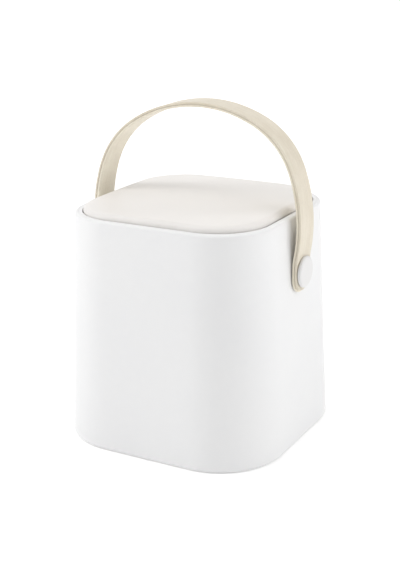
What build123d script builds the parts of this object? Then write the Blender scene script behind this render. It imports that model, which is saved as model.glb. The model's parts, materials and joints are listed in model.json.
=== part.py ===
from build123d import *
import os
from math import sin, cos, tan, radians, pi

os.makedirs("parts", exist_ok=True)

# ---------------------------------------------------------------- dimensions
# millimetres, +Z up, origin on the table under the middle of the body
foot_h = 1.2            # the feet hold the shell this far off the table
body_h = 166.5          # shell, bottom edge to rim
half_top = 76.0         # half width of the body at the rim
half_bot = 83.6         # half width of the body at the bottom edge
rad_top = 42.7          # plan corner radius at the rim
rad_bot = 48.8          # plan corner radius at the bottom edge
wall = 2.0              # shell wall
rim_round = 2.0         # outer rounding of the rim
rim_z = foot_h + body_h
corner_c = half_top - rad_top      # centre of the plan corner arcs near the rim

# seat for the lid carrier inside the rim
seat_half = 73.8        # recess that takes the bucket flange and the carrier
shelf_z = rim_z - 11.5  # the bucket flange hangs here
shelf_half = 72.6       # opening in the shelf
shelf_t = 2.0

# lid carrier ring
frame_out = 73.6
frame_in_x = 71.2       # wider gap on the two pin sides,
frame_in_y = 70.65      # a fine one at the front and back
frame_z0 = rim_z - 10.0

# lid
lid_half = 70.2
lid_wall = 1.8
lid_z0 = rim_z - 9.3    # lower edge of the lid's skirt
lid_edge_r = 4.5        # soft rounding of the lid's top edge
lid_edge_top = rim_z + 4.4
lid_dome = 0.8          # crown of the lid over its edge
axis_z = rim_z - 4.0    # height of the lid's rocking axis
lid_relief_x = 69.2     # the skirt is set back on the two pin sides, below a thin lip
lid_relief_top = rim_z - 0.2
pin_r = 1.5
pin_x0, pin_x1 = 62.0, 73.3
bush_r = 2.6

# inner bucket
bucket_out = 72.2       # outer half width under its flange
bucket_wall = 1.1
bucket_flange_half = 73.5
bucket_flange_t = 1.4
bucket_mid_z = shelf_z - 30.0      # the wall stays nearly upright down to here, round the swinging lid
bucket_floor_z = 9.0

# base
base_z0 = foot_h + 0.6
base_t = 2.2
boss_xy = 63.0
foot_xy = 50.0
foot_r = 6.5

# handle
pivot_z = foot_h + 127.0
strap_w = 23.2          # width at the pivots
strap_w_top = 20.3      # width at the crown
strap_x = 82.2          # outer face of the strap at the pivot
layer_t = 1.4           # each strap layer
core_t = 0.6            # stiffener between them
core_inset = 0.6        # the stiffener is narrower than the layers
crown = 113.8           # outer face of the crown above the pivot
crown_x = 5.6           # the soft strap sways a little to the right
drop_outer = 2.1        # centre of each layer's round end below the pivot
drop_core = 2.6
drop_lining = 3.5
strap_t = 2 * layer_t + core_t

# pivots
stem_r = 3.5
bush_out_r = 4.6
run = 0.05              # radial running clearance
cap_r = 11.25
cap_t = 3.2             # head of the cap
washer_t = 0.6
pad_x = 78.15           # flat pad on the shell's wall under the washer
inner_boss_x = 74.9     # flat inside face of the wall at the pivot
screw_r = 1.4


def half_at(z):
    return half_bot + (half_top - half_bot) * (z - foot_h) / body_h


def rad_at(z):
    return rad_bot + (rad_top - rad_bot) * (z - foot_h) / body_h


def save(builder, name):
    builder.part.label = name
    export_step(builder.part, "parts/" + name + ".step")


# ---------------------------------------------------------------- outer shell
cav_top = shelf_z - shelf_t
with BuildPart() as outer_shell:
    # tapered rounded-square body
    with BuildSketch(Plane.XY.offset(foot_h)):
        RectangleRounded(2 * half_bot, 2 * half_bot, rad_bot)
    with BuildSketch(Plane.XY.offset(rim_z)):
        RectangleRounded(2 * half_top, 2 * half_top, rad_top)
    loft(ruled=True)
    fillet(outer_shell.faces().sort_by(Axis.Z)[-1].edges(), radius=rim_round)
    fillet(outer_shell.faces().sort_by(Axis.Z)[0].edges(), radius=0.6)
    # flat pads that carry the handle's washers
    with BuildSketch(Plane.YZ.offset(-pad_x)):
        with Locations((0, pivot_z)):
            Circle(7.5)
    extrude(amount=2 * pad_x)
    # main cavity, open below
    with BuildSketch(Plane.XY.offset(foot_h)):
        RectangleRounded(2 * (half_bot - wall), 2 * (half_bot - wall), rad_bot - wall)
    with BuildSketch(Plane.XY.offset(cav_top)):
        RectangleRounded(2 * (half_at(cav_top) - wall), 2 * (half_at(cav_top) - wall), rad_at(cav_top) - wall)
    loft(ruled=True, mode=Mode.SUBTRACT)
    # opening in the shelf, and the recess above it
    with BuildSketch(Plane.XY.offset(cav_top - 1)):
        RectangleRounded(2 * shelf_half, 2 * shelf_half, shelf_half - corner_c)
    extrude(amount=shelf_t + 2, mode=Mode.SUBTRACT)
    with BuildSketch(Plane.XY.offset(shelf_z)):
        RectangleRounded(2 * seat_half, 2 * seat_half, seat_half - corner_c)
    extrude(amount=20, mode=Mode.SUBTRACT)
    # inner bosses behind the pads
    for side in (1, -1):
        with BuildSketch(Plane(origin=(side * inner_boss_x, 0, pivot_z), x_dir=(0, side, 0), z_dir=(side, 0, 0))):
            Circle(7.2)
        extrude(amount=2.4)
    # stem holes
    with BuildSketch(Plane.YZ.offset(-90)):
        with Locations((0, pivot_z)):
            Circle(stem_r + run)
    extrude(amount=180, mode=Mode.SUBTRACT)
    # screw bosses in the lower corners, each on a rib to the corner
    with BuildSketch(Plane.XY.offset(base_z0 + base_t)):
        for k in range(4):
            with Locations(Location((0, 0), 45 + 90 * k)):
                with Locations((boss_xy * 2 ** 0.5, 0)):
                    Circle(3.4)
                with Locations((boss_xy * 2 ** 0.5 + 4.0, 0)):
                    Rectangle(8.0, 2.2)
    extrude(amount=12)
    with BuildSketch(Plane.XY.offset(base_z0 + base_t - 0.5)):
        with GridLocations(2 * boss_xy, 2 * boss_xy, 2, 2):
            Circle(1.1)
    extrude(amount=10, mode=Mode.SUBTRACT)
save(outer_shell, "outer_shell")

# ---------------------------------------------------------------- base
base_half = half_at(base_z0 + base_t) - wall - 0.2
with BuildPart() as base_plate:
    with BuildSketch(Plane.XY.offset(base_z0)):
        RectangleRounded(2 * base_half, 2 * base_half, rad_bot - wall - 0.2)
    extrude(amount=base_t)
    # stiffening ring on top
    with BuildSketch(Plane.XY.offset(base_z0 + base_t)):
        RectangleRounded(104, 104, 24)
        RectangleRounded(100, 100, 22, mode=Mode.SUBTRACT)
    extrude(amount=2.5)
    # pockets for the feet
    with BuildSketch(Plane.XY.offset(base_z0)):
        with GridLocations(2 * foot_xy, 2 * foot_xy, 2, 2):
            Circle(foot_r + 0.05)
    extrude(amount=0.9, mode=Mode.SUBTRACT)
    # screw holes with sunk heads
    with BuildSketch(Plane.XY.offset(base_z0)):
        with GridLocations(2 * boss_xy, 2 * boss_xy, 2, 2):
            Circle(1.4)
    extrude(amount=base_t, mode=Mode.SUBTRACT)
    with BuildSketch(Plane.XY.offset(base_z0)):
        with GridLocations(2 * boss_xy, 2 * boss_xy, 2, 2):
            Circle(2.8)
    extrude(amount=1.2, mode=Mode.SUBTRACT)
save(base_plate, "base_plate")

with BuildPart() as base_screws:
    with BuildSketch(Plane.XY.offset(base_z0 + 0.1)):
        with GridLocations(2 * boss_xy, 2 * boss_xy, 2, 2):
            Circle(2.6)
    extrude(amount=1.1)
    with BuildSketch(Plane.XY.offset(base_z0 + 1.2)):
        with GridLocations(2 * boss_xy, 2 * boss_xy, 2, 2):
            Circle(1.1)
    extrude(amount=8.0)
    # cross recess
    with BuildSketch(Plane.XY.offset(base_z0 + 0.1)):
        with GridLocations(2 * boss_xy, 2 * boss_xy, 2, 2):
            Rectangle(2.6, 0.6)
            Rectangle(0.6, 2.6)
    extrude(amount=0.7, mode=Mode.SUBTRACT)
save(base_screws, "base_screws")

with BuildPart() as rubber_feet:
    with BuildSketch():
        with GridLocations(2 * foot_xy, 2 * foot_xy, 2, 2):
            Circle(foot_r)
    extrude(amount=base_z0 + 0.9)
    chamfer(rubber_feet.faces().group_by(Axis.Z)[0].edges(), length=0.4)
save(rubber_feet, "rubber_feet")

# ---------------------------------------------------------------- inner bucket
mid_out = bucket_out - (shelf_z - bucket_mid_z) * tan(radians(1.0))
bot_out = mid_out - (bucket_mid_z - bucket_floor_z) * tan(radians(2.5))
with BuildPart() as inner_bucket:
    with BuildSketch(Plane.XY.offset(bucket_floor_z)):
        RectangleRounded(2 * bot_out, 2 * bot_out, bot_out - corner_c)
    with BuildSketch(Plane.XY.offset(bucket_mid_z)):
        RectangleRounded(2 * mid_out, 2 * mid_out, mid_out - corner_c)
    loft(ruled=True)
    with BuildSketch(Plane.XY.offset(bucket_mid_z)):
        RectangleRounded(2 * mid_out, 2 * mid_out, mid_out - corner_c)
    with BuildSketch(Plane.XY.offset(shelf_z + bucket_flange_t)):
        RectangleRounded(2 * bucket_out, 2 * bucket_out, bucket_out - corner_c)
    loft(ruled=True)
    fillet(inner_bucket.faces().sort_by(Axis.Z)[0].edges(), radius=6.0)
    # flange that hangs on the shelf
    with BuildSketch(Plane.XY.offset(shelf_z)):
        RectangleRounded(2 * bucket_flange_half, 2 * bucket_flange_half, bucket_flange_half - corner_c)
    extrude(amount=bucket_flange_t)
with BuildPart() as bucket_space:
    floor_in = bucket_floor_z + 1.3
    low_in = bot_out - bucket_wall
    mid_in = mid_out - bucket_wall
    top_in = bucket_out - bucket_wall
    with BuildSketch(Plane.XY.offset(floor_in)):
        RectangleRounded(2 * low_in, 2 * low_in, low_in - corner_c)
    with BuildSketch(Plane.XY.offset(bucket_mid_z)):
        RectangleRounded(2 * mid_in, 2 * mid_in, mid_in - corner_c)
    loft(ruled=True)
    with BuildSketch(Plane.XY.offset(bucket_mid_z)):
        RectangleRounded(2 * mid_in, 2 * mid_in, mid_in - corner_c)
    with BuildSketch(Plane.XY.offset(shelf_z + bucket_flange_t)):
        RectangleRounded(2 * top_in, 2 * top_in, top_in - corner_c)
    loft(ruled=True)
    fillet(bucket_space.faces().sort_by(Axis.Z)[0].edges(), radius=4.9)
with inner_bucket:
    add(bucket_space.part, mode=Mode.SUBTRACT)
save(inner_bucket, "inner_bucket")

# ---------------------------------------------------------------- lid carrier
with BuildPart() as top_frame:
    with BuildSketch(Plane.XY.offset(frame_z0)):
        RectangleRounded(2 * frame_out, 2 * frame_out, frame_out - corner_c)
        RectangleRounded(2 * frame_in_x, 2 * frame_in_y, frame_in_y + 0.25 - corner_c, mode=Mode.SUBTRACT)
    extrude(amount=rim_z - frame_z0)
    top = top_frame.faces().sort_by(Axis.Z)[-1]
    chamfer(top.outer_wire().edges(), length=0.15)
    fillet(top_frame.faces().sort_by(Axis.Z)[-1].inner_wires()[0].edges(), radius=0.4)
    # holes for the lid's bushes
    with BuildSketch(Plane.YZ.offset(-90)):
        with Locations((0, axis_z)):
            Circle(bush_r)
    extrude(amount=180, mode=Mode.SUBTRACT)
save(top_frame, "top_frame")

with BuildPart() as lid_bush_right:
    with BuildSketch(Plane.YZ.offset(frame_in_x)):
        with Locations((0, axis_z)):
            Circle(bush_r)
            Circle(pin_r + run, mode=Mode.SUBTRACT)
    extrude(amount=frame_out - frame_in_x)
save(lid_bush_right, "lid_bush_right")

with BuildPart() as lid_bush_left:
    mirror(lid_bush_right.part, about=Plane.YZ)
save(lid_bush_left, "lid_bush_left")

# ---------------------------------------------------------------- lid
dome_r = lid_half ** 2 / (2 * lid_dome)
keel_x, keel_y = 104.0, 46.0           # trough of the underside pan
pan_z = lid_z0 + 1.2
pan_t = 1.5
keel_z = rim_z - 15.5
with BuildPart() as lid_panel:
    with BuildSketch(Plane.XY.offset(lid_z0)):
        RectangleRounded(2 * lid_half, 2 * lid_half, lid_half - corner_c)
    extrude(amount=lid_edge_top + lid_dome + 1 - lid_z0)
    # crown
    with Locations((0, 0, lid_edge_top + lid_dome - dome_r)):
        Sphere(dome_r, mode=Mode.INTERSECT)
    fillet(lid_panel.faces().sort_by(Axis.Z)[-1].edges(), radius=lid_edge_r)
    # hollow underneath
    in_half = lid_half - lid_wall
    with BuildSketch(Plane.XY.offset(lid_z0)):
        RectangleRounded(2 * in_half, 2 * in_half, in_half - corner_c)
    extrude(amount=lid_edge_top - lid_wall - 0.9 - lid_z0, mode=Mode.SUBTRACT)
    # relief of the skirt under the lip on the pin sides
    with BuildSketch(Plane.XY.offset(lid_z0 - 1)):
        Rectangle(2 * lid_half + 10, 2 * lid_half + 10)
        Rectangle(2 * lid_relief_x, 2 * lid_half + 20, mode=Mode.SUBTRACT)
    extrude(amount=lid_relief_top - lid_z0 + 1, mode=Mode.SUBTRACT)
    # bosses for the pins
    for side in (1, -1):
        with BuildSketch(Plane(origin=(side * 60.5, 0, axis_z), x_dir=(0, side, 0), z_dir=(side, 0, 0))):
            Circle(3.6)
            with Locations((0, 1.6)):
                Rectangle(3.0, 5.6)
        extrude(amount=8.4)
        with BuildSketch(Plane(origin=(side * pin_x0, 0, axis_z), x_dir=(0, side, 0), z_dir=(side, 0, 0))):
            Circle(pin_r)
        extrude(amount=12, mode=Mode.SUBTRACT)
save(lid_panel, "lid_panel")

with BuildPart() as lid_underside:
    pan_half = lid_half - lid_wall - 0.15
    with BuildSketch(Plane.XY.offset(lid_z0 + 0.2)):
        RectangleRounded(2 * pan_half, 2 * pan_half, pan_half - corner_c)
    extrude(amount=pan_t)
    # trough that holds the weight below the axis
    with BuildSketch(Plane.XY.offset(keel_z)):
        RectangleRounded(keel_x, keel_y, 12)
    extrude(amount=lid_z0 + 0.2 + pan_t - keel_z)
    fillet(lid_underside.faces().sort_by(Axis.Z)[0].edges(), radius=3.0)
    with BuildSketch(Plane.XY.offset(keel_z + 1.5)):
        RectangleRounded(keel_x - 3, keel_y - 3, 10.5)
    extrude(amount=30, mode=Mode.SUBTRACT)
save(lid_underside, "lid_underside")

with BuildPart() as lid_weight:
    with BuildSketch(Plane.XY.offset(keel_z + 1.5)):
        RectangleRounded(96, 38, 8)
    extrude(amount=2.5)
    with BuildSketch(Plane.XY.offset(keel_z + 1.5)):
        with Locations((-38, 0), (38, 0)):
            Circle(2.5)
    extrude(amount=2.5, mode=Mode.SUBTRACT)
save(lid_weight, "lid_weight")

with BuildPart() as lid_pin_right:
    with BuildSketch(Plane.YZ.offset(pin_x0)):
        with Locations((0, axis_z)):
            Circle(pin_r)
    extrude(amount=pin_x1 - pin_x0)
    chamfer(lid_pin_right.faces().sort_by(Axis.X)[-1].edges(), length=0.3)
save(lid_pin_right, "lid_pin_right")

with BuildPart() as lid_pin_left:
    mirror(lid_pin_right.part, about=Plane.YZ)
save(lid_pin_left, "lid_pin_left")

# ---------------------------------------------------------------- handle
# plane of the arch: local x along the hinge axis, local y up the strap
arch_plane = Plane(origin=(0, 0, pivot_z), x_dir=(1, 0, 0), z_dir=(0, -1, 0))
side_plane = Plane(origin=(0, 0, pivot_z), x_dir=(0, 1, 0), z_dir=(1, 0, 0))

# on each side the outer face of the arch is a chain of tangent arcs from the
# crown down to the flat end at the pivot: (radius, angle), a negative radius
# turns the other way; the second radius is trimmed so that the end is at strap_x
right_chain = (95.6, 0.4704, 0.7514, 113.3, 0.1753)
left_chain = (102.7, 0.5673, 0.6600, 112.0, 0.1340)
toe_r = 45.0


def chain(side, depth):
    """Start, middle and end of each arc of one side, depth below the outer face."""
    r1, a1, a2, r3, toe = right_chain if side > 0 else left_chain
    arcs = [(r1, a1), (0.0, a2), (r3, pi / 2 + toe - a1 - a2), (-toe_r, toe)]
    span = strap_x - side * crown_x
    reach, heading = 0.0, 0.0
    for r, turn in arcs:
        s = -1 if r < 0 else 1
        reach += r * (sin(heading + s * turn) - sin(heading))
        heading += s * turn
    arcs[1] = ((span - reach) / (sin(a1 + a2) - sin(a1)), a2)
    x, y, heading = crown_x, crown - depth, 0.0
    out = []
    for radius, turn in arcs:
        s = 1 if radius > 0 else -1
        r = abs(radius) - s * depth
        cx, cy = x - side * s * r * sin(heading), y - s * r * cos(heading)
        pts = []
        for t in (0, turn / 2, turn):
            h = heading + s * t
            pts.append((cx + side * s * r * sin(h), cy + s * r * cos(h)))
        out.append(pts)
        x, y = pts[-1]
        heading += s * turn
    return out


def arch_sketch(depth_0, depth_1):
    """Closed outline of one layer, between two depths below the outer face."""
    with BuildSketch(arch_plane) as layer:
        with BuildLine():
            for side in (1, -1):
                for depth in (depth_0, depth_1):
                    arcs = chain(side, depth)
                    for a, b, c in arcs:
                        ThreePointArc(a, b, c)
                    Line(arcs[-1][-1], (side * (strap_x - depth), -20))
                Line((side * (strap_x - depth_0), -20), (side * (strap_x - depth_1), -20))
        make_face()
    return layer


def strap_layer(depth_0, depth_1, inset, drop):
    """One layer of the strap: the arch, with round ends and holes for the bushes."""
    half = strap_w / 2 - inset
    half_crown = strap_w_top / 2 - inset
    sk = arch_sketch(depth_0, depth_1)
    with BuildPart() as layer:
        extrude(sk.sketch, amount=half + 1, both=True)
        with BuildSketch(side_plane.offset(-100)):
            with Locations((0, -drop)):
                Circle(half)
            with BuildLine():
                Polyline((-half, -drop), (half, -drop), (half, 0), (half_crown, 113), (half_crown, 120),
                         (-half_crown, 120), (-half_crown, 113), (-half, 0), (-half, -drop))
            make_face()
        extrude(amount=200, mode=Mode.INTERSECT)
        with BuildSketch(Plane.YZ.offset(-100)):
            with Locations((0, pivot_z)):
                Circle(bush_out_r)
        extrude(amount=200, mode=Mode.SUBTRACT)
    return layer


handle_strap = strap_layer(0, layer_t, 0.0, drop_outer)
save(handle_strap, "handle_strap")
handle_core = strap_layer(layer_t, layer_t + core_t, core_inset, drop_core)
save(handle_core, "handle_core")
handle_lining = strap_layer(layer_t + core_t, strap_t, 0.0, drop_lining)
save(handle_lining, "handle_lining")

with BuildPart() as strap_bush_right:
    with BuildSketch(Plane.YZ.offset(strap_x - strap_t)):
        with Locations((0, pivot_z)):
            Circle(bush_out_r)
            Circle(stem_r + run, mode=Mode.SUBTRACT)
    extrude(amount=strap_t)
save(strap_bush_right, "strap_bush_right")

with BuildPart() as strap_bush_left:
    mirror(strap_bush_right.part, about=Plane.YZ)
save(strap_bush_left, "strap_bush_left")

# ---------------------------------------------------------------- pivots
cap_x = strap_x + 0.05
with BuildPart() as pivot_cap_right:
    # head with soft edges, and a hollow stem through strap and wall
    face_x = cap_x + cap_t
    # the underside is dished, because the strap bends outwards just above the pivot
    under = (cap_x + 0.5, pivot_z + cap_r - 0.25)
    side_0 = (cap_x + 0.8, pivot_z + cap_r)
    side_1 = (cap_x + 1.8, pivot_z + cap_r)
    top = (face_x - 0.2, pivot_z + cap_r - 2.6)
    with BuildSketch(Plane.XZ):
        with BuildLine():
            Line(under, (cap_x, pivot_z + 5.5))
            Line((cap_x, pivot_z + 5.5), (cap_x, pivot_z + stem_r))
            Line((cap_x, pivot_z + stem_r), (inner_boss_x + 0.15, pivot_z + stem_r))
            Line((inner_boss_x + 0.15, pivot_z + stem_r), (inner_boss_x + 0.15, pivot_z))
            Line((inner_boss_x + 0.15, pivot_z), (face_x, pivot_z))
            Line((face_x, pivot_z), top)
            ThreePointArc(top, (cap_x + 2.68, pivot_z + cap_r - 0.72), side_1)
            Line(side_1, side_0)
            ThreePointArc(side_0, (cap_x + 0.59, pivot_z + cap_r - 0.08), under)
        make_face()
    revolve(axis=Axis((0, 0, pivot_z), (1, 0, 0)))
    with BuildSketch(Plane.YZ.offset(inner_boss_x)):
        with Locations((0, pivot_z)):
            Circle(screw_r)
    extrude(amount=6.2, mode=Mode.SUBTRACT)
save(pivot_cap_right, "pivot_cap_right")

with BuildPart() as pivot_cap_left:
    mirror(pivot_cap_right.part, about=Plane.YZ)
save(pivot_cap_left, "pivot_cap_left")

with BuildPart() as wall_washer_right:
    with BuildSketch(Plane.YZ.offset(pad_x)):
        with Locations((0, pivot_z)):
            Circle(7.2)
            Circle(stem_r + run, mode=Mode.SUBTRACT)
    extrude(amount=washer_t)
save(wall_washer_right, "wall_washer_right")

with BuildPart() as wall_washer_left:
    mirror(wall_washer_right.part, about=Plane.YZ)
save(wall_washer_left, "wall_washer_left")

with BuildPart() as clamp_washer_right:
    with BuildSketch(Plane.YZ.offset(inner_boss_x - 0.8)):
        with Locations((0, pivot_z)):
            Circle(6.0)
            Circle(1.6, mode=Mode.SUBTRACT)
    extrude(amount=0.8)
save(clamp_washer_right, "clamp_washer_right")

with BuildPart() as clamp_washer_left:
    mirror(clamp_washer_right.part, about=Plane.YZ)
save(clamp_washer_left, "clamp_washer_left")

with BuildPart() as pivot_screw_right:
    with BuildSketch(Plane.YZ.offset(inner_boss_x - 0.8 - 1.5)):
        with Locations((0, pivot_z)):
            Circle(2.8)
    extrude(amount=1.5)
    with BuildSketch(Plane.YZ.offset(inner_boss_x - 0.8)):
        with Locations((0, pivot_z)):
            Circle(screw_r)
    extrude(amount=6.6)
    # cross recess
    with BuildSketch(Plane.YZ.offset(inner_boss_x - 0.8 - 1.5)):
        with Locations((0, pivot_z)):
            Rectangle(3.0, 0.7)
            Rectangle(0.7, 3.0)
    extrude(amount=0.9, mode=Mode.SUBTRACT)
save(pivot_screw_right, "pivot_screw_right")

with BuildPart() as pivot_screw_left:
    mirror(pivot_screw_right.part, about=Plane.YZ)
save(pivot_screw_left, "pivot_screw_left")

print("flat ends start", [[round(v, 3) for v in chain(side, 0)[-1][-1]] for side in (1, -1)])
print("crown outer z", round(pivot_z + crown, 2), "lid top z", round(lid_edge_top + lid_dome, 2))
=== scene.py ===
import json
import math
import bpy
import bmesh
from mathutils import Matrix, Vector


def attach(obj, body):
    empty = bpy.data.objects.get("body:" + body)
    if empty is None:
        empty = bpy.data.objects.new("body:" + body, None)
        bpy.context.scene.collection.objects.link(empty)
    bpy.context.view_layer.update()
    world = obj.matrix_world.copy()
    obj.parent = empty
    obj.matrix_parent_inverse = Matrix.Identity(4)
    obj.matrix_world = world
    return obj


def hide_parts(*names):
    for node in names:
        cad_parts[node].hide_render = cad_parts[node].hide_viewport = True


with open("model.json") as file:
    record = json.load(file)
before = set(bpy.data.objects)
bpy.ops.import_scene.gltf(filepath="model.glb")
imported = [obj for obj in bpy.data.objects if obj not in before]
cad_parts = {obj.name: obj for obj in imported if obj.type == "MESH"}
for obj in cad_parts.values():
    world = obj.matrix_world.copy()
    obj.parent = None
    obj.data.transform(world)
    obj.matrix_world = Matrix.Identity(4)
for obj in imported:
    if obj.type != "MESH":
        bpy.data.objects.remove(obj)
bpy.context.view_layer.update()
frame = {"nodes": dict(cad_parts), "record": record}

MM = 0.001
nodes = frame["nodes"]

# ------------------------------------------------------------------ sizes (mm)
FOOT = 1.2
BODY_H = 166.5
RIM = FOOT + BODY_H
HALF_TOP, HALF_BOT = 76.0, 83.6
RAD_TOP, RAD_BOT = 42.7, 48.8
WALL = 2.0
RIM_R = 2.0
CC = HALF_TOP - RAD_TOP            # centre of the plan corner arcs at the rim
SEAT = 73.8
SHELF_Z = RIM - 11.5
SHELF_HALF = 72.6
FRAME_OUT, FRAME_IN_X, FRAME_IN_Y = 73.76, 71.2, 70.45
FRAME_Z0 = RIM - 10.0
LID = 70.2
LID_Z0 = RIM - 9.3
LID_RELIEF_X = 69.2                # skirt set back under the lip on the pin sides
AXIS_Z = RIM - 4.0
PIVOT_Z = FOOT + 127.0
STRAP_W, STRAP_W_TOP = 23.2, 20.3
STRAP_X = 82.2
LAYER_T, CORE_T, CORE_INSET = 1.4, 0.6, 0.45
CROWN, CROWN_X = 113.8, 5.6
DROP_OUTER, DROP_CORE, DROP_LINING = 2.1, 2.6, 3.5
STRAP_T = 2 * LAYER_T + CORE_T
CAP_R, CAP_T = 11.25, 3.2
WASHER_T = 0.6
STEM_R = 3.5
PAD_X = 78.15
INNER_BOSS_X = 74.9


def smooth(t):
    t = max(0.0, min(1.0, t))
    return t * t * (3 - 2 * t)


def half_at(z):
    return HALF_BOT + (HALF_TOP - HALF_BOT) * (z - FOOT) / BODY_H


def centre_at(z):
    """Distance of the plan corner arcs' centres from the axes."""
    t = min(1.0, max(0.0, (z - FOOT) / BODY_H))
    return (HALF_BOT - RAD_BOT) + (CC - (HALF_BOT - RAD_BOT)) * t


# ------------------------------------------------------------------ mesh helpers
def rounded(half, centre, n_arc=28, n_side=10):
    """Points of a rounded square, starting at the middle of the +X side, anticlockwise."""
    rad = half - centre
    pts = []
    quarter = []
    for i in range(n_side):
        quarter.append((half, centre * i / n_side))
    for i in range(n_arc + 1):
        a = math.pi / 2 * i / n_arc
        quarter.append((centre + rad * math.cos(a), centre + rad * math.sin(a)))
    for i in range(1, n_side):
        quarter.append((centre * (1 - i / n_side), half))
    for k in range(4):
        c, s = ((1, 0), (0, 1), (-1, 0), (0, -1))[k]
        pts += [(c * x - s * y, s * x + c * y) for x, y in quarter]
    return pts


def rounded_rect(hx, hy, rad, n_arc=28, n_side=10):
    """Points of a rounded rectangle, in the same order and number as rounded()."""
    cx, cy = hx - rad, hy - rad
    first = [(hx, cy * i / n_side) for i in range(n_side)]
    first += [(cx + rad * math.cos(math.pi / 2 * i / n_arc), cy + rad * math.sin(math.pi / 2 * i / n_arc)) for i in range(n_arc + 1)]
    first += [(cx * (1 - i / n_side), hy) for i in range(1, n_side)]
    second = [(-cx * i / n_side, hy) for i in range(n_side)]
    second += [(-cx - rad * math.sin(math.pi / 2 * i / n_arc), cy + rad * math.cos(math.pi / 2 * i / n_arc)) for i in range(n_arc + 1)]
    second += [(-hx, cy * (1 - i / n_side)) for i in range(1, n_side)]
    half_turn = first + second
    return half_turn + [(-x, -y) for x, y in half_turn]


def finish_mesh(name, verts, faces, angle=32.0):
    me = bpy.data.meshes.new(name)
    me.from_pydata([(x * MM, y * MM, z * MM) for x, y, z in verts], [], faces)
    me.validate()
    bm = bmesh.new()
    bm.from_mesh(me)
    bmesh.ops.remove_doubles(bm, verts=bm.verts, dist=1e-7)
    bmesh.ops.recalc_face_normals(bm, faces=bm.faces)
    bm.to_mesh(me)
    bm.free()
    for p in me.polygons:
        p.use_smooth = True
    me.set_sharp_from_angle(angle=math.radians(angle))
    ob = bpy.data.objects.new(name, me)
    bpy.context.scene.collection.objects.link(ob)
    return ob


def grid_faces(rows, count, closed_rows=False, closed_cols=True, base=0):
    """Quads between successive rows of count points."""
    faces = []
    last = rows if closed_rows else rows - 1
    cols = count if closed_cols else count - 1
    for r in range(last):
        a, b = base + r * count, base + ((r + 1) % rows) * count
        for i in range(cols):
            j = (i + 1) % count
            faces.append((a + i, a + j, b + j, b + i))
    return faces


def swept_ring(name, section, angle=32.0, n_arc=28, n_side=10):
    """Closed ring: section is a closed list of (half, centre, z)."""
    verts = []
    for half, centre, z in section:
        verts += [(x, y, z) for x, y in rounded(half, centre, n_arc, n_side)]
    count = 4 * (2 * n_side + n_arc)
    return finish_mesh(name, verts, grid_faces(len(section), count, closed_rows=True), angle)


def arc(cx, cz, r, a0, a1, n):
    """Points of an arc in a section plane, angles in degrees."""
    return [(cx + r * math.cos(math.radians(a0 + (a1 - a0) * i / n)), cz + r * math.sin(math.radians(a0 + (a1 - a0) * i / n)))
            for i in range(n + 1)]


def lerp_list(p, q, n):
    """Points strictly between p and q."""
    return [tuple(a + (b - a) * i / n for a, b in zip(p, q)) for i in range(1, n)]


def revolve_x(name, profile, side, n=96, angle=32.0, z0=PIVOT_Z):
    """Solid of revolution about the hinge axis; profile is (x, r) from axis to axis."""
    verts, faces = [], []
    rings = []
    for x, r in profile:
        if r < 1e-6:
            verts.append((side * x, 0, z0))
            rings.append([len(verts) - 1])
        else:
            first = len(verts)
            for i in range(n):
                a = 2 * math.pi * i / n
                verts.append((side * x, r * math.sin(a), z0 + r * math.cos(a)))
            rings.append(list(range(first, first + n)))
    for a, b in zip(rings, rings[1:]):
        for i in range(n):
            j = (i + 1) % n
            if len(a) == 1 and len(b) > 1:
                faces.append((a[0], b[j], b[i]))
            elif len(b) == 1 and len(a) > 1:
                faces.append((a[i], a[j], b[0]))
            elif len(a) > 1:
                faces.append((a[i], a[j], b[j], b[i]))
    if len(rings[0]) > 1 and len(rings[-1]) > 1:        # a tube closes on itself
        a, b = rings[-1], rings[0]
        for i in range(n):
            j = (i + 1) % n
            faces.append((a[i], a[j], b[j], b[i]))
    return finish_mesh(name, verts, faces, angle)


def join(name, objects):
    """One object from several closed shells."""
    verts, faces, smooth_flags = [], [], []
    bm = bmesh.new()
    for o in objects:
        bm.from_mesh(o.data)
    me = bpy.data.meshes.new(name)
    bm.to_mesh(me)
    bm.free()
    ob = bpy.data.objects.new(name, me)
    bpy.context.scene.collection.objects.link(ob)
    for o in objects:
        bpy.data.objects.remove(o)
    return ob


def cut(ob, tools):
    """Boolean difference, applied."""
    for t in tools:
        m = ob.modifiers.new("cut", "BOOLEAN")
        m.operation = "DIFFERENCE"
        m.solver = "EXACT"
        m.object = t
    dg = bpy.context.evaluated_depsgraph_get()
    me = bpy.data.meshes.new_from_object(ob.evaluated_get(dg))
    ob.modifiers.clear()
    ob.data = me
    for t in tools:
        bpy.data.objects.remove(t)
    return ob


# ------------------------------------------------------------------ materials
def new_material(name):
    m = bpy.data.materials.new(name)
    m.use_nodes = True
    nt = m.node_tree
    nt.nodes.clear()
    out = nt.nodes.new("ShaderNodeOutputMaterial")
    bsdf = nt.nodes.new("ShaderNodeBsdfPrincipled")
    nt.links.new(bsdf.outputs[0], out.inputs[0])
    tc = nt.nodes.new("ShaderNodeTexCoord")
    return m, nt, bsdf, tc


def noise(nt, tc, scale, detail=3.0, rough=0.55, stretch=None):
    n = nt.nodes.new("ShaderNodeTexNoise")
    n.inputs["Scale"].default_value = scale
    n.inputs["Detail"].default_value = detail
    n.inputs["Roughness"].default_value = rough
    if stretch:
        mp = nt.nodes.new("ShaderNodeMapping")
        mp.inputs["Scale"].default_value = stretch
        nt.links.new(tc.outputs["Object"], mp.inputs["Vector"])
        nt.links.new(mp.outputs[0], n.inputs["Vector"])
    else:
        nt.links.new(tc.outputs["Object"], n.inputs["Vector"])
    return n


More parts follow.
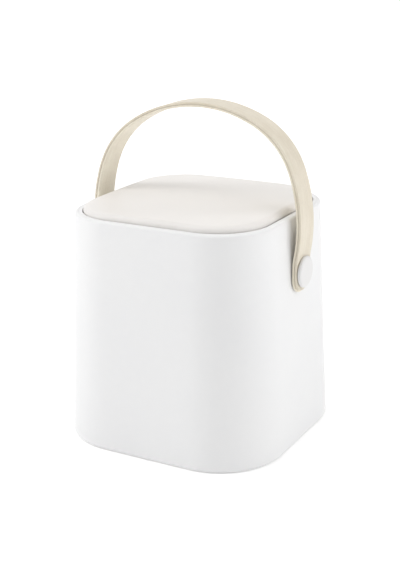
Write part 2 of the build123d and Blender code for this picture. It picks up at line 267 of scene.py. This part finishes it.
def ramp(nt, fac, stops):
    r = nt.nodes.new("ShaderNodeValToRGB")
    while len(r.color_ramp.elements) < len(stops):
        r.color_ramp.elements.new(0.5)
    for e, (p, c) in zip(r.color_ramp.elements, stops):
        e.position = p
        e.color = (*c, 1)
    nt.links.new(fac, r.inputs[0])
    return r


def math_node(nt, op, a, b):
    n = nt.nodes.new("ShaderNodeMath")
    n.operation = op
    for k, v in enumerate((a, b)):
        if isinstance(v, (int, float)):
            n.inputs[k].default_value = v
        else:
            nt.links.new(v, n.inputs[k])
    return n.outputs[0]


def bump(nt, bsdf, heights, distance=0.0001):
    """heights: list of (socket, weight); one bump from their sum, distance in metres."""
    total = None
    for s, w in heights:
        t = math_node(nt, "MULTIPLY", s, w)
        total = t if total is None else math_node(nt, "ADD", total, t)
    b = nt.nodes.new("ShaderNodeBump")
    b.inputs["Strength"].default_value = 1.0
    b.inputs["Distance"].default_value = distance
    nt.links.new(total, b.inputs["Height"])
    nt.links.new(b.outputs[0], bsdf.inputs["Normal"])
    return b


def srgb(r, g, b):
    def f(c):
        c /= 255.0
        return c / 12.92 if c <= 0.04045 else ((c + 0.055) / 1.055) ** 2.4
    return (f(r), f(g), f(b))


def plastic(name, light, dark, rough=(0.38, 0.5), grain=0.5, grain_scale=2200.0, spec=0.5, wave=0.0):
    """Moulded plastic: faint cloudy colour, fine spark-eroded grain, uneven gloss."""
    m, nt, bsdf, tc = new_material(name)
    big = noise(nt, tc, 14.0, 3.0, 0.5)
    mid = noise(nt, tc, 160.0, 4.0, 0.6)
    mix = math_node(nt, "ADD", math_node(nt, "MULTIPLY", big.outputs[0], 0.7), math_node(nt, "MULTIPLY", mid.outputs[0], 0.3))
    col = ramp(nt, mix, [(0.32, dark), (0.68, light)])
    nt.links.new(col.outputs[0], bsdf.inputs["Base Color"])
    rr = nt.nodes.new("ShaderNodeMapRange")
    rr.inputs["From Min"].default_value = 0.3
    rr.inputs["From Max"].default_value = 0.7
    rr.inputs["To Min"].default_value = rough[0]
    rr.inputs["To Max"].default_value = rough[1]
    nt.links.new(mid.outputs[0], rr.inputs[0])
    nt.links.new(rr.outputs[0], bsdf.inputs["Roughness"])
    bsdf.inputs["Specular IOR Level"].default_value = spec
    bsdf.inputs["IOR"].default_value = 1.49
    fine = noise(nt, tc, grain_scale, 2.0, 0.5)
    heights = [(fine.outputs[0], 0.05 * grain)]
    if wave:
        slow = noise(nt, tc, 22.0, 1.0, 0.4)
        heights.append((slow.outputs[0], wave))
    bump(nt, bsdf, heights, 0.0004)
    return m


def leather(name, light, mid_c, dark, rough=(0.42, 0.58), grain=1.0):
    """Imitation leather: pebbled grain with fine creases and painted shade in its valleys, a faint streak along the
    strap, soft sheen.
    """
    m, nt, bsdf, tc = new_material(name)
    cloud = noise(nt, tc, 55.0, 4.0, 0.6)
    streak = noise(nt, tc, 260.0, 3.0, 0.6, stretch=(0.25, 2.4, 0.25))
    mix = math_node(nt, "ADD", math_node(nt, "MULTIPLY", cloud.outputs[0], 0.62), math_node(nt, "MULTIPLY", streak.outputs[0], 0.38))
    col = ramp(nt, mix, [(0.34, dark), (0.5, mid_c), (0.66, light)])
    # grain: cells with soft valleys, broken up by noise
    cells = nt.nodes.new("ShaderNodeTexVoronoi")
    cells.feature = "SMOOTH_F1"
    cells.inputs["Scale"].default_value = 1500.0
    cells.inputs["Smoothness"].default_value = 0.55
    warp = noise(nt, tc, 900.0, 2.0, 0.5)
    add = nt.nodes.new("ShaderNodeVectorMath")
    add.operation = "MULTIPLY_ADD"
    nt.links.new(warp.outputs[1], add.inputs[0])
    add.inputs[1].default_value = (0.0006, 0.0006, 0.0006)
    nt.links.new(tc.outputs["Object"], add.inputs[2])
    nt.links.new(add.outputs[0], cells.inputs["Vector"])
    valley = ramp(nt, cells.outputs["Distance"], [(0.25, (1, 1, 1)), (0.75, (0.0, 0.0, 0.0))])
    # painted shade: the grain valleys are multiplied a touch darker in the base colour
    painted_valley_shade = nt.nodes.new("ShaderNodeMix")
    painted_valley_shade.data_type = "RGBA"
    painted_valley_shade.blend_type = "MULTIPLY"
    painted_valley_shade.inputs["Factor"].default_value = 0.05
    nt.links.new(col.outputs[0], painted_valley_shade.inputs[6])
    nt.links.new(valley.outputs[0], painted_valley_shade.inputs[7])
    nt.links.new(painted_valley_shade.outputs[2], bsdf.inputs["Base Color"])
    rr = nt.nodes.new("ShaderNodeMapRange")
    rr.inputs["From Min"].default_value = 0.3
    rr.inputs["From Max"].default_value = 0.7
    rr.inputs["To Min"].default_value = rough[0]
    rr.inputs["To Max"].default_value = rough[1]
    nt.links.new(cloud.outputs[0], rr.inputs[0])
    nt.links.new(rr.outputs[0], bsdf.inputs["Roughness"])
    bsdf.inputs["Specular IOR Level"].default_value = 0.42
    bsdf.inputs["Sheen Weight"].default_value = 0.12
    bsdf.inputs["Sheen Roughness"].default_value = 0.5
    fine = noise(nt, tc, 3200.0, 2.0, 0.6)
    bump(nt, bsdf, [(valley.outputs[0], 0.09 * grain), (fine.outputs[0], 0.05 * grain), (streak.outputs[0], 0.05 * grain)], 0.0006)
    return m


def metal(name, color, rough=(0.25, 0.4)):
    """Plated or ground steel with fine turning marks."""
    m, nt, bsdf, tc = new_material(name)
    n1 = noise(nt, tc, 700.0, 3.0, 0.6, stretch=(0.15, 1.0, 1.0))
    dark = tuple(c * 0.8 for c in color)
    col = ramp(nt, n1.outputs[0], [(0.35, dark), (0.65, color)])
    nt.links.new(col.outputs[0], bsdf.inputs["Base Color"])
    bsdf.inputs["Metallic"].default_value = 1.0
    rr = nt.nodes.new("ShaderNodeMapRange")
    rr.inputs["To Min"].default_value = rough[0]
    rr.inputs["To Max"].default_value = rough[1]
    nt.links.new(n1.outputs[0], rr.inputs[0])
    nt.links.new(rr.outputs[0], bsdf.inputs["Roughness"])
    bump(nt, bsdf, [(n1.outputs[0], 0.03)], 0.0004)
    return m


MAT = {
    "shell_plastic": plastic("shell_plastic", (0.865, 0.865, 0.865), (0.84, 0.84, 0.845), rough=(0.44, 0.54), grain=0.8, spec=0.2, wave=0.02),
    "lid_plastic": plastic("lid_plastic", (0.84, 0.815, 0.79), (0.81, 0.785, 0.76), rough=(0.36, 0.46), grain=0.7, spec=0.35, wave=0.02),
    "lid_pan_plastic": plastic("lid_pan_plastic", (0.80, 0.785, 0.765), (0.76, 0.745, 0.725), rough=(0.45, 0.6), grain=1.2),
    "base_plastic": plastic("base_plastic", (0.80, 0.80, 0.79), (0.76, 0.76, 0.75), rough=(0.5, 0.65), grain=1.8, grain_scale=1500.0),
    "bucket_plastic": plastic("bucket_plastic", (0.70, 0.70, 0.695), (0.66, 0.66, 0.655), rough=(0.35, 0.5), grain=1.0),
    "cap_plastic": plastic("cap_plastic", (0.785, 0.775, 0.77), (0.755, 0.745, 0.74), rough=(0.34, 0.44), grain=0.4, spec=0.4),
    "nylon": plastic("nylon", (0.74, 0.73, 0.68), (0.68, 0.67, 0.62), rough=(0.45, 0.6), grain=0.6),
    "rubber": plastic("rubber", (0.22, 0.22, 0.215), (0.17, 0.17, 0.168), rough=(0.65, 0.85), grain=2.2, grain_scale=1300.0, spec=0.3),
    "strap_core": plastic("strap_core", (0.70, 0.645, 0.545), (0.60, 0.55, 0.46), rough=(0.6, 0.8), grain=1.0),
    "strap_outer": leather("strap_outer", srgb(233, 225, 208), srgb(227, 218, 200), srgb(220, 210, 190)),
    "strap_lining": leather("strap_lining", srgb(243, 237, 220), srgb(239, 231, 213), srgb(232, 223, 204), grain=0.7),
    "screw_steel": metal("screw_steel", (0.62, 0.62, 0.61)),
    "pin_steel": metal("pin_steel", (0.66, 0.66, 0.65), rough=(0.15, 0.3)),
    "weight_steel": metal("weight_steel", (0.42, 0.42, 0.42), rough=(0.4, 0.55)),
}
SLOT_OF = {s["node"]: s["material_slot"] for s in frame["record"]["subparts"]}

# nodes whose CAD shape is shown get the detailed materials
for name, ob in nodes.items():
    ob.data.materials.clear()
    ob.data.materials.append(MAT[SLOT_OF[name]])


def dress(ob, slot, body, *replaced):
    ob.data.materials.clear()
    ob.data.materials.append(MAT[slot])
    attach(ob, body)
    if replaced:
        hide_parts(*replaced)
    return ob


# ------------------------------------------------------------------ outer shell
def shell_section():
    """Closed section: bottom edge, outer wall, rim, seat, shelf, inner wall."""
    pts = []                                   # (half, z)
    tilt = math.degrees(math.atan((HALF_BOT - HALF_TOP) / BODY_H))
    # bottom edge, 0.6 mm
    rb = 0.6
    hb = HALF_BOT - rb * (1 + math.sin(math.radians(tilt))) / math.cos(math.radians(tilt))
    pts += arc(hb, FOOT + rb, rb, -90, tilt, 6)
    # rim rounding
    ht = HALF_TOP - RIM_R * (1 - math.sin(math.radians(tilt))) / math.cos(math.radians(tilt))
    rim = arc(ht, RIM - RIM_R, RIM_R, tilt, 90, 12)
    pts += lerp_list(pts[-1], rim[0], 18)
    pts += rim
    # seam edge, then the seat wall down to the shelf
    pts += [(SEAT + 0.06, RIM - 0.0), (SEAT, RIM - 0.08), (SEAT, RIM - 4), (SEAT, SHELF_Z + 0.1), (SEAT - 0.1, SHELF_Z)]
    pts += [(SHELF_HALF + 0.2, SHELF_Z), (SHELF_HALF, SHELF_Z - 0.2), (SHELF_HALF, SHELF_Z - 1.8), (SHELF_HALF + 0.2, SHELF_Z - 2.0)]
    top_in = (half_at(SHELF_Z - 2) - WALL, SHELF_Z - 2)
    low_in = (HALF_BOT - WALL, FOOT + 0.2)
    pts += [(top_in[0] - 0.3, top_in[1]), (top_in[0], top_in[1] - 0.3)]
    pts += lerp_list((top_in[0], top_in[1] - 0.3), low_in, 10)
    pts += [low_in, (HALF_BOT - WALL + 0.2, FOOT)]
    return [(h, centre_at(z), z) for h, z in pts]


shell = swept_ring("shell_wall", shell_section(), n_arc=36, n_side=12)
parts = [shell]
for side in (1, -1):
    # washer pad outside, boss inside, one hollow button through the wall
    parts.append(revolve_x("pad", [(INNER_BOSS_X, 3.6), (INNER_BOSS_X, 7.0), (INNER_BOSS_X + 0.2, 7.2), (INNER_BOSS_X + 2.2, 7.5), (PAD_X - 0.1, 7.5), (PAD_X, 7.4), (PAD_X, 3.6)], side, 64))
for sx in (1, -1):
    for sy in (1, -1):
        verts, n = [], 40
        z0, z1 = 4.05, 16.0
        for z in (z0, z1):
            for i in range(n):
                a = 2 * math.pi * i / n
                verts.append((sx * 63.0 + 3.4 * math.cos(a), sy * 63.0 + 3.4 * math.sin(a), z))
        faces = grid_faces(2, n) + [tuple(range(n)), tuple(range(n, 2 * n))]
        parts.append(finish_mesh("boss", verts, faces))
shell = join("shell", parts)
dress(shell, "shell_plastic", "body", "outer_shell")

# ------------------------------------------------------------------ lid carrier
def ring_mesh():
    na, ns = 36, 12
    count = 4 * (2 * ns + na)
    rows = []

    def outer(half, z):
        rows.append([(x, y, z) for x, y in rounded(half, CC, na, ns)])

    def inner(d, z):
        rows.append([(x, y, z) for x, y in rounded_rect(FRAME_IN_X + d, FRAME_IN_Y + d, FRAME_IN_Y + 0.25 - CC + d, na, ns)])
    outer(FRAME_OUT - 0.15, FRAME_Z0)
    outer(FRAME_OUT, FRAME_Z0 + 0.15)
    outer(FRAME_OUT, RIM - 4.0)
    outer(FRAME_OUT, RIM - 0.12)
    outer(FRAME_OUT - 0.06, RIM)
    top = rows[-1]
    er = 0.25
    edge = [(x, y, RIM) for x, y in rounded_rect(FRAME_IN_X + er, FRAME_IN_Y + er, FRAME_IN_Y + 0.25 + er - CC, na, ns)]
    for k in range(1, 5):
        rows.append([tuple(p + (q - p) * k / 5 for p, q in zip(u, v)) for u, v in zip(top, edge)])
    rows.append(edge)
    for k in range(1, 7):
        a = math.pi / 2 * k / 6
        inner(er * (1 - math.sin(a)), RIM - er * (1 - math.cos(a)))
    inner(0.0, RIM - 4.0)
    inner(0.0, FRAME_Z0 + 0.3)
    inner(0.3, FRAME_Z0)
    verts = [p for r in rows for p in r]
    return finish_mesh("lid_ring", verts, grid_faces(len(rows), count, closed_rows=True))


ring = ring_mesh()
dress(ring, "shell_plastic", "lid_carrier", "top_frame")

# ------------------------------------------------------------------ lid
LID_R = 4.5                       # soft edge
LID_EDGE = RIM + 4.4
LID_DOME = 0.8
DOME_R = LID ** 2 / (2 * LID_DOME)


def dome_z(x, y):
    return LID_EDGE + LID_DOME - (x * x + y * y) / (2 * DOME_R)


def lid_mesh():
    na, ns = 36, 12
    count = 4 * (2 * ns + na)
    verts, faces = [], []
    rows = 0

    def add(half, f, keep=1000.0):
        """One row; keep limits it towards the two pin sides."""
        nonlocal rows
        for x, y in rounded(half, CC, na, ns):
            x = max(-keep, min(keep, x))
            verts.append((x, y, f(x, y)))
        rows += 1

    def flat(z):
        return lambda x, y: z
    z_base = LID_EDGE - LID_R
    wall = 1.8
    # inside, from the top down
    inner_top = LID_EDGE - wall - 0.9
    add(LID - wall - 1.0, flat(inner_top))
    add(LID - wall, flat(inner_top - 1.0))
    add(LID - wall, flat(LID_Z0 + 2))
    add(LID - wall, flat(LID_Z0 + 0.2))
    add(LID - wall + 0.25, flat(LID_Z0))
    # skirt
    add(LID - 0.4, flat(LID_Z0), LID_RELIEF_X - 0.4)
    add(LID - 0.1, flat(LID_Z0 + 0.1), LID_RELIEF_X - 0.1)
    add(LID, flat(LID_Z0 + 0.4), LID_RELIEF_X)
    for k in range(1, 6):
        add(LID, flat(LID_Z0 + 0.4 + (RIM - 0.22 - LID_Z0 - 0.4) * k / 5), LID_RELIEF_X)
    add(LID, flat(RIM - 0.2))
    # soft edge
    n = 18
    for k in range(n + 1):
        a = math.pi / 2 * k / n
        d = LID_R * (1 - math.cos(a))
        g = math.sin(a)
        add(LID - d, lambda x, y, g=g: z_base + (dome_z(x, y) - z_base) * g)
    # crown: rings that shrink to the middle
    rim_ring = rounded(LID - LID_R, CC, na, ns)
    steps = 22
    for k in range(1, steps):
        s = 1 - k / steps
        for x, y in rim_ring:
            verts.append((x * s, y * s, dome_z(x * s, y * s)))
        rows += 1
    faces += grid_faces(rows, count)
    verts.append((0, 0, dome_z(0, 0)))
    tip = len(verts) - 1
    last = (rows - 1) * count
    for i in range(count):
        faces.append((last + i, last + (i + 1) % count, tip))
    # inside face: rings to the middle too
    first_ring = [verts[i] for i in range(count)]
    base = len(verts)
    steps = 6
    for k in range(1, steps):
        s = 1 - k / steps
        verts.extend((x * s, y * s, inner_top) for x, y, z in first_ring)
    prev = list(range(count))
    for k in range(steps - 1):
        cur = [base + k * count + i for i in range(count)]
        for i in range(count):
            j = (i + 1) % count
            faces.append((prev[j], prev[i], cur[i], cur[j]))
        prev = cur
    verts.append((0, 0, inner_top))
    tip = len(verts) - 1
    for i in range(count):
        faces.append((prev[(i + 1) % count], prev[i], tip))
    return finish_mesh("lid_top", verts, faces, 40)


lid = lid_mesh()
dress(lid, "lid_plastic", "lid", "lid_panel")

# ------------------------------------------------------------------ strap
# arcs of each side from the crown to the flat end, as (radius, angle)
RIGHT_CHAIN = (95.6, 0.4704, 0.7514, 113.3, 0.1753)
LEFT_CHAIN = (102.7, 0.5673, 0.6600, 112.0, 0.1340)
TOE_R = 45.0


def chain_arcs(side):
    r1, a1, a2, r3, toe = RIGHT_CHAIN if side > 0 else LEFT_CHAIN
    arcs = [(r1, a1), (0.0, a2), (r3, math.pi / 2 + toe - a1 - a2), (-TOE_R, toe)]
    reach, h = 0.0, 0.0
    for r, turn in arcs:
        sg = -1 if r < 0 else 1
        reach += r * (math.sin(h + sg * turn) - math.sin(h))
        h += sg * turn
    arcs[1] = ((STRAP_X - side * CROWN_X - reach) / (math.sin(a1 + a2) - math.sin(a1)), a2)
    return arcs


ARCS = {1: chain_arcs(1), -1: chain_arcs(-1)}


def arch_point(s):
    """Point and outward normal of the outer face at length s from the crown, signed (right positive): (x, y), (nx, ny)."""
    side = 1 if s >= 0 else -1
    rest = abs(s)
    x, y, h = 0.0, CROWN, 0.0
    for radius, turn in ARCS[side]:
        sg = 1 if radius > 0 else -1
        r = abs(radius)
        cx, cy = x - sg * r * math.sin(h), y - sg * r * math.cos(h)
        t = min(turn, rest / r)
        h2 = h + sg * t
        x, y = cx + sg * r * math.sin(h2), cy + sg * r * math.cos(h2)
        h = h2
        if rest <= r * turn:
            rest = 0
            break
        rest -= r * turn
    if rest > 0:
        y -= rest
    return (CROWN_X + side * x, y), (side * math.sin(h), math.cos(h))


def side_length(side):
    """Length of the outer face from the crown down to the pivot's height."""
    arcs = ARCS[side]
    total = sum(abs(r) * t for r, t in arcs)
    return total + arch_point(side * total)[0][1]


LENGTH = {1: side_length(1), -1: side_length(-1)}


def strap_to_world(s, t, depth):
    """s along the strap, t across it (towards the back), depth below the outer face."""
    (x, y), (nx, ny) = arch_point(s)
    return (x - nx * depth, t, PIVOT_Z + y - ny * depth)


def strap_layer(name, d0, d1, inset, e0, e1, drop, crown_out=0.0):
    """One layer between depths d0 and d1. e0, e1: edge rounding at the outer and inner face."""
    R = STRAP_W / 2 - inset
    R_TOP = STRAP_W_TOP / 2 - inset
    end = {1: LENGTH[1] + drop, -1: LENGTH[-1] + drop}
    n_body, n_end, n_across = 240, 22, 12
    stations = []                                  # ("end", angle, sign) or ("body", s)
    for k in range(n_end + 1):
        stations.append(("end", math.pi / 2 * (1 - k / n_end), -1))
    for k in range(1, n_body):
        stations.append(("body", -end[-1] + (end[-1] + end[1]) * k / n_body, 0))
    for k in range(n_end + 1):
        stations.append(("end", math.pi / 2 * k / n_end, 1))

    def outline(i, delta):
        kind, v, sg = stations[i]
        if kind == "body":
            u = max(0.0, min(1.0, arch_point(v)[0][1] / 113.0))
            return v, R + (R_TOP - R) * u - delta
        return sg * (end[sg] + (R - delta) * math.sin(v)), (R - delta) * math.cos(v)

    # loops round the edge: (inset from the outline, depth)
    edge = []
    m = 4
    for k in range(m + 1):
        a = math.pi / 2 * k / m
        edge.append((e0 * (1 - math.sin(a)), d0 + e0 * (1 - math.cos(a))))
    mid = (d0 + d1) / 2
    edge.append((0.0, mid))
    for k in range(m + 1):
        a = math.pi / 2 * k / m
        edge.append((e1 * (1 - math.cos(a)), d1 - e1 * (1 - math.sin(a))))
    verts, index = [], {}

    def vert(key, s, t, d):
        if key not in index:
            index[key] = len(verts)
            verts.append(strap_to_world(s, t, d))
        return index[key]

    N = len(stations)

    def edge_vert(i, k, sgn):
        delta, d = edge[k]
        s, t = outline(i, delta)
        tip = t < 1e-6
        return vert(("e", i, k, 0 if tip else sgn), s, sgn * t, d)

    def face_vert(i, j, which):
        """Across the face; j from 0 to n_across, the ends are edge points."""
        k = 0 if which == 0 else len(edge) - 1
        if j == 0:
            return edge_vert(i, k, -1)
        if j == n_across:
            return edge_vert(i, k, 1)
        delta, d = edge[k]
        s, t = outline(i, delta)
        if t < 1e-6:
            return edge_vert(i, k, 1)
        u = -1 + 2 * j / n_across
        dd = d - crown_out * (1 - u * u) if which == 0 else d
        return vert(("f", which, i, j), s, u * t, dd)

    faces = []

    def quad(*v):
        out = []
        for x in v:
            if x not in out:
                out.append(x)
        if len(out) >= 3:
            faces.append(tuple(out))

    for i in range(N - 1):
        for j in range(n_across):
            quad(face_vert(i, j, 0), face_vert(i, j + 1, 0), face_vert(i + 1, j + 1, 0), face_vert(i + 1, j, 0))
            quad(face_vert(i, j, 1), face_vert(i + 1, j, 1), face_vert(i + 1, j + 1, 1), face_vert(i, j + 1, 1))
        for k in range(len(edge) - 1):
            quad(edge_vert(i, k, 1), edge_vert(i, k + 1, 1), edge_vert(i + 1, k + 1, 1), edge_vert(i + 1, k, 1))
            quad(edge_vert(i, k, -1), edge_vert(i + 1, k, -1), edge_vert(i + 1, k + 1, -1), edge_vert(i, k + 1, -1))
    ob = finish_mesh(name, verts, faces, 50)
    tool = revolve_x("tool", [(60, 0), (60, 4.6), (100, 4.6), (100, 0)], 1, 64)
    tool2 = revolve_x("tool2", [(60, 0), (60, 4.6), (100, 4.6), (100, 0)], -1, 64)
    cut(ob, [tool, tool2])
    return ob


strap_out = strap_layer("strap_outer", 0.0, LAYER_T, 0.0, 0.5, 0.2, DROP_OUTER)
dress(strap_out, "strap_outer", "handle", "handle_strap")
strap_core = strap_layer("strap_core", LAYER_T, LAYER_T + CORE_T, CORE_INSET, 0.05, 0.05, DROP_CORE)
dress(strap_core, "strap_core", "handle", "handle_core")
strap_in = strap_layer("strap_lining", LAYER_T + CORE_T, STRAP_T, 0.0, 0.2, 0.45, DROP_LINING)
dress(strap_in, "strap_lining", "handle", "handle_lining")

# ------------------------------------------------------------------ pivot caps and washers
cap_x = STRAP_X + 0.05
profile = [(INNER_BOSS_X + 0.15, 1.4), (INNER_BOSS_X + 0.15, STEM_R - 0.2), (INNER_BOSS_X + 0.35, STEM_R), (cap_x, STEM_R)]
# dished underside, rounded lower edge, short side, soft upper edge, slightly crowned face
profile += [(cap_x, 5.5), (cap_x + 0.26, 8.2), (cap_x + 0.5, CAP_R - 0.25), (cap_x + 0.53, CAP_R - 0.15), (cap_x + 0.63, CAP_R - 0.05), (cap_x + 0.8, CAP_R)]
profile.append((cap_x + 1.45, CAP_R))
for k in range(0, 15):
    a = math.pi / 2 * k / 14
    profile.append((cap_x + 1.8 + (CAP_T - 0.2 - 1.8) * math.sin(a), CAP_R - 2.6 * (1 - math.cos(a))))
for k in range(1, 9):
    r = (CAP_R - 2.6) * (1 - k / 9)
    profile.append((cap_x + CAP_T - 0.2 * (r / (CAP_R - 2.6)) ** 2, r))
profile.append((cap_x + CAP_T, 0.0))
profile = [(81.2, 0.0), (81.2, 1.4)] + profile
for side, word in ((1, "right"), (-1, "left")):
    cap = revolve_x("cap_" + word, profile, side, 128, 50)
    dress(cap, "cap_plastic", "body", "pivot_cap_" + word)
    wp = [(PAD_X, STEM_R + 0.05), (PAD_X, 7.0), (PAD_X + 0.12, 7.2), (PAD_X + WASHER_T - 0.12, 7.2), (PAD_X + WASHER_T, 7.05),
          (PAD_X + WASHER_T, STEM_R + 0.05)]
    washer = revolve_x("wall_washer_ring_" + word, wp, side, 72)
    dress(washer, "nylon", "body", "wall_washer_" + word)

# ------------------------------------------------------------------ bucket
B_OUT, B_WALL, B_FLANGE, B_FT = 72.2, 1.1, 73.5, 1.4
B_MID_Z, B_FLOOR = SHELF_Z - 30.0, 9.0
mid_out = B_OUT - 30.0 * math.tan(math.radians(1.0))
bot_out = mid_out - (B_MID_Z - B_FLOOR) * math.tan(math.radians(2.5))


def bucket_mesh():
    na, ns = 28, 10
    count = 4 * (2 * ns + na)
    rows = []
    zt = SHELF_Z + B_FT

    def add(half, z):
        rows.append([(x, y, z) for x, y in rounded(half, CC, na, ns)])
    # outside, from the floor up
    add(bot_out - 6.0, B_FLOOR)
    for k in range(1, 9):
        a = math.pi / 2 * k / 8
        add(bot_out - 6.0 + 6.0 * math.sin(a), B_FLOOR + 6.0 * (1 - math.cos(a)))
    for k in range(1, 9):
        z = B_FLOOR + 6 + (B_MID_Z - B_FLOOR - 6) * k / 8
        add(bot_out + (mid_out - bot_out) * (z - B_FLOOR) / (B_MID_Z - B_FLOOR), z)
    add(B_OUT - 0.1, SHELF_Z - 0.2)
    add(B_OUT + 0.15, SHELF_Z)
    add(B_FLANGE - 0.15, SHELF_Z)
    add(B_FLANGE, SHELF_Z + 0.15)
    add(B_FLANGE, zt - 0.4)
    add(B_FLANGE - 0.12, zt - 0.1)
    add(B_FLANGE - 0.4, zt)
    add(B_OUT - B_WALL + 0.6, zt)
    add(B_OUT - B_WALL + 0.15, zt - 0.15)
    add(B_OUT - B_WALL, zt - 0.6)
    low_in, mid_in = bot_out - B_WALL, mid_out - B_WALL
    z1 = B_FLOOR + 1.3
    for k in range(0, 9):
        z = B_MID_Z + (z1 + 4.9 - B_MID_Z) * k / 8
        add(low_in + (mid_in - low_in) * (z - z1) / (B_MID_Z - z1), z)
    for k in range(1, 9):
        a = math.pi / 2 * k / 8
        add(low_in - 4.9 * (1 - math.cos(a)), z1 + 4.9 * (1 - math.sin(a)))
    verts = [p for r in rows for p in r]
    faces = grid_faces(len(rows), count)
    # floors: rings to the middle, with two shallow stiffening steps inside
    for row, z, flip in ((0, B_FLOOR, True), (len(rows) - 1, z1, False)):
        ring0 = rows[row]
        prev = [row * count + i for i in range(count)]
        for s in (0.86, 0.84, 0.62, 0.60, 0.35, 0.15):
            zz = z + (0.35 if s in (0.84, 0.62) else 0.0)
            base = len(verts)
            verts.extend((x * s, y * s, zz) for x, y, _ in ring0)
            cur = [base + i for i in range(count)]
            for i in range(count):
                j = (i + 1) % count
                faces.append((prev[i], prev[j], cur[j], cur[i]))
            prev = cur
        verts.append((0, 0, z))
        for i in range(count):
            faces.append((prev[i], prev[(i + 1) % count], len(verts) - 1))
    return finish_mesh("bucket", verts, faces, 38)


bucket = bucket_mesh()
dress(bucket, "bucket_plastic", "body", "inner_bucket")

# ------------------------------------------------------------------ stage
floor_me = bpy.data.meshes.new("floor")
bm = bmesh.new()
bmesh.ops.create_grid(bm, x_segments=2, y_segments=2, size=25.0)
bm.to_mesh(floor_me)
bm.free()
floor = bpy.data.objects.new("floor", floor_me)
floor.location = (0, 0, 0)
bpy.context.scene.collection.objects.link(floor)
m, nt, bsdf, tc = new_material("floor")
n1 = noise(nt, tc, 3.0, 2.0, 0.5)
col = ramp(nt, n1.outputs[0], [(0.4, (0.93, 0.93, 0.93)), (0.6, (0.94, 0.94, 0.94))])
nt.links.new(col.outputs[0], bsdf.inputs["Base Color"])
bsdf.inputs["Roughness"].default_value = 0.9
bsdf.inputs["Specular IOR Level"].default_value = 0.1
bsdf.inputs["Emission Color"].default_value = (1, 1, 1, 1)
# the floor glows a little, more so far away, so that it stays an even white behind the bin
spread = nt.nodes.new("ShaderNodeVectorMath")
spread.operation = "LENGTH"
nt.links.new(tc.outputs["Object"], spread.inputs[0])
glow = nt.nodes.new("ShaderNodeMapRange")
glow.interpolation_type = "SMOOTHSTEP"
glow.inputs["From Min"].default_value = 0.4
glow.inputs["From Max"].default_value = 1.6
glow.inputs["To Min"].default_value = 0.22
glow.inputs["To Max"].default_value = 0.44
nt.links.new(spread.outputs["Value"], glow.inputs[0])
nt.links.new(glow.outputs[0], bsdf.inputs["Emission Strength"])
floor.data.materials.append(m)


def towards(az, el):
    """Unit vector to a light: azimuth from the front (-Y) towards +X, elevation, degrees."""
    az, el = math.radians(az), math.radians(el)
    return Vector((math.sin(az) * math.cos(el), -math.cos(az) * math.cos(el), math.sin(el)))


def softbox(name, az, el, size, power, color=(1, 1, 1), dist=1.6):
    """Round soft light aimed at the middle of the bin."""
    L = bpy.data.lights.new(name, "AREA")
    L.shape = "DISK"
    L.size = size
    L.energy = power
    L.color = color
    o = bpy.data.objects.new(name, L)
    o.location = towards(az, el) * dist + Vector((0, 0, 0.1))
    o.rotation_mode = "QUATERNION"
    o.rotation_quaternion = (-towards(az, el)).to_track_quat("-Z", "Y")
    bpy.context.scene.collection.objects.link(o)
    return o


# studio: an even white surround with broad brighter zones
world = bpy.data.worlds.new("studio")
bpy.context.scene.world = world
world.use_nodes = True
wt = world.node_tree
wt.nodes.clear()
w_out = wt.nodes.new("ShaderNodeOutputWorld")
w_bg = wt.nodes.new("ShaderNodeBackground")
w_tc = wt.nodes.new("ShaderNodeTexCoord")
wt.links.new(w_bg.outputs[0], w_out.inputs[0])
w_bg.inputs["Color"].default_value = (1, 1, 1, 1)
total = None
for az, el, weight in ((225, 12, 0.80), (135, 50, 0.094), (0, 90, 1.058)):
    dot = wt.nodes.new("ShaderNodeVectorMath")
    dot.operation = "DOT_PRODUCT"
    wt.links.new(w_tc.outputs["Generated"], dot.inputs[0])
    dot.inputs[1].default_value = towards(az, el)
    v = math_node(wt, "MULTIPLY", math_node(wt, "POWER", math_node(wt, "MAXIMUM", dot.outputs["Value"], 0.0), 4.0), weight)
    total = v if total is None else math_node(wt, "ADD", total, v)
total = math_node(wt, "ADD", total, 0.25)
wt.links.new(total, w_bg.inputs["Strength"])

softbox("key_right", 102, 22, 0.6, 1.95)
softbox("key_right_back", 120, 24, 0.5, 3.55)
softbox("key_right_high", 84, 42, 0.8, 2.20)
softbox("front_right", 60, 45, 1.0, 0.20)
softbox("fill_left", -60, 15, 0.7, 4.3)
softbox("fill_left_high", -50, 54, 0.8, 6.1)

# ------------------------------------------------------------------ camera
AZ, EL, DIST = math.radians(28.92), math.radians(19.44), 847.03
F_PX, CX, CY, ROLL = 1139.02, 200.73, 312.61, math.radians(-0.69)
back = Vector((math.sin(AZ) * math.cos(EL), -math.cos(AZ) * math.cos(EL), math.sin(EL)))
C = Vector((0, 0, 83.27 + FOOT)) + back * DIST
fw = -back
right = Vector((math.cos(AZ), math.sin(AZ), 0))
up = right.cross(fw)
R2 = right * math.cos(ROLL) + up * math.sin(ROLL)
U2 = up * math.cos(ROLL) - right * math.sin(ROLL)
cam_data = bpy.data.cameras.new("camera")
cam = bpy.data.objects.new("camera", cam_data)
bpy.context.scene.collection.objects.link(cam)
cam_data.sensor_fit = "AUTO"
cam_data.sensor_width = 36.0
cam_data.lens = F_PX * 36.0 / 570.0
cam_data.shift_x = (200.0 - CX) / 570.0
cam_data.shift_y = (CY - 285.0) / 570.0
cam_data.clip_start, cam_data.clip_end = 0.01, 50.0
rot = Matrix((R2, U2, back)).transposed()
cam.rotation_mode = "QUATERNION"
cam.rotation_quaternion = rot.to_quaternion()
cam.location = C * MM
bpy.context.scene.camera = cam

scene = bpy.context.scene
scene.view_settings.view_transform = "Standard"
scene.view_settings.look = "None"
scene.view_settings.exposure = 0.0
scene.view_settings.gamma = 1.0
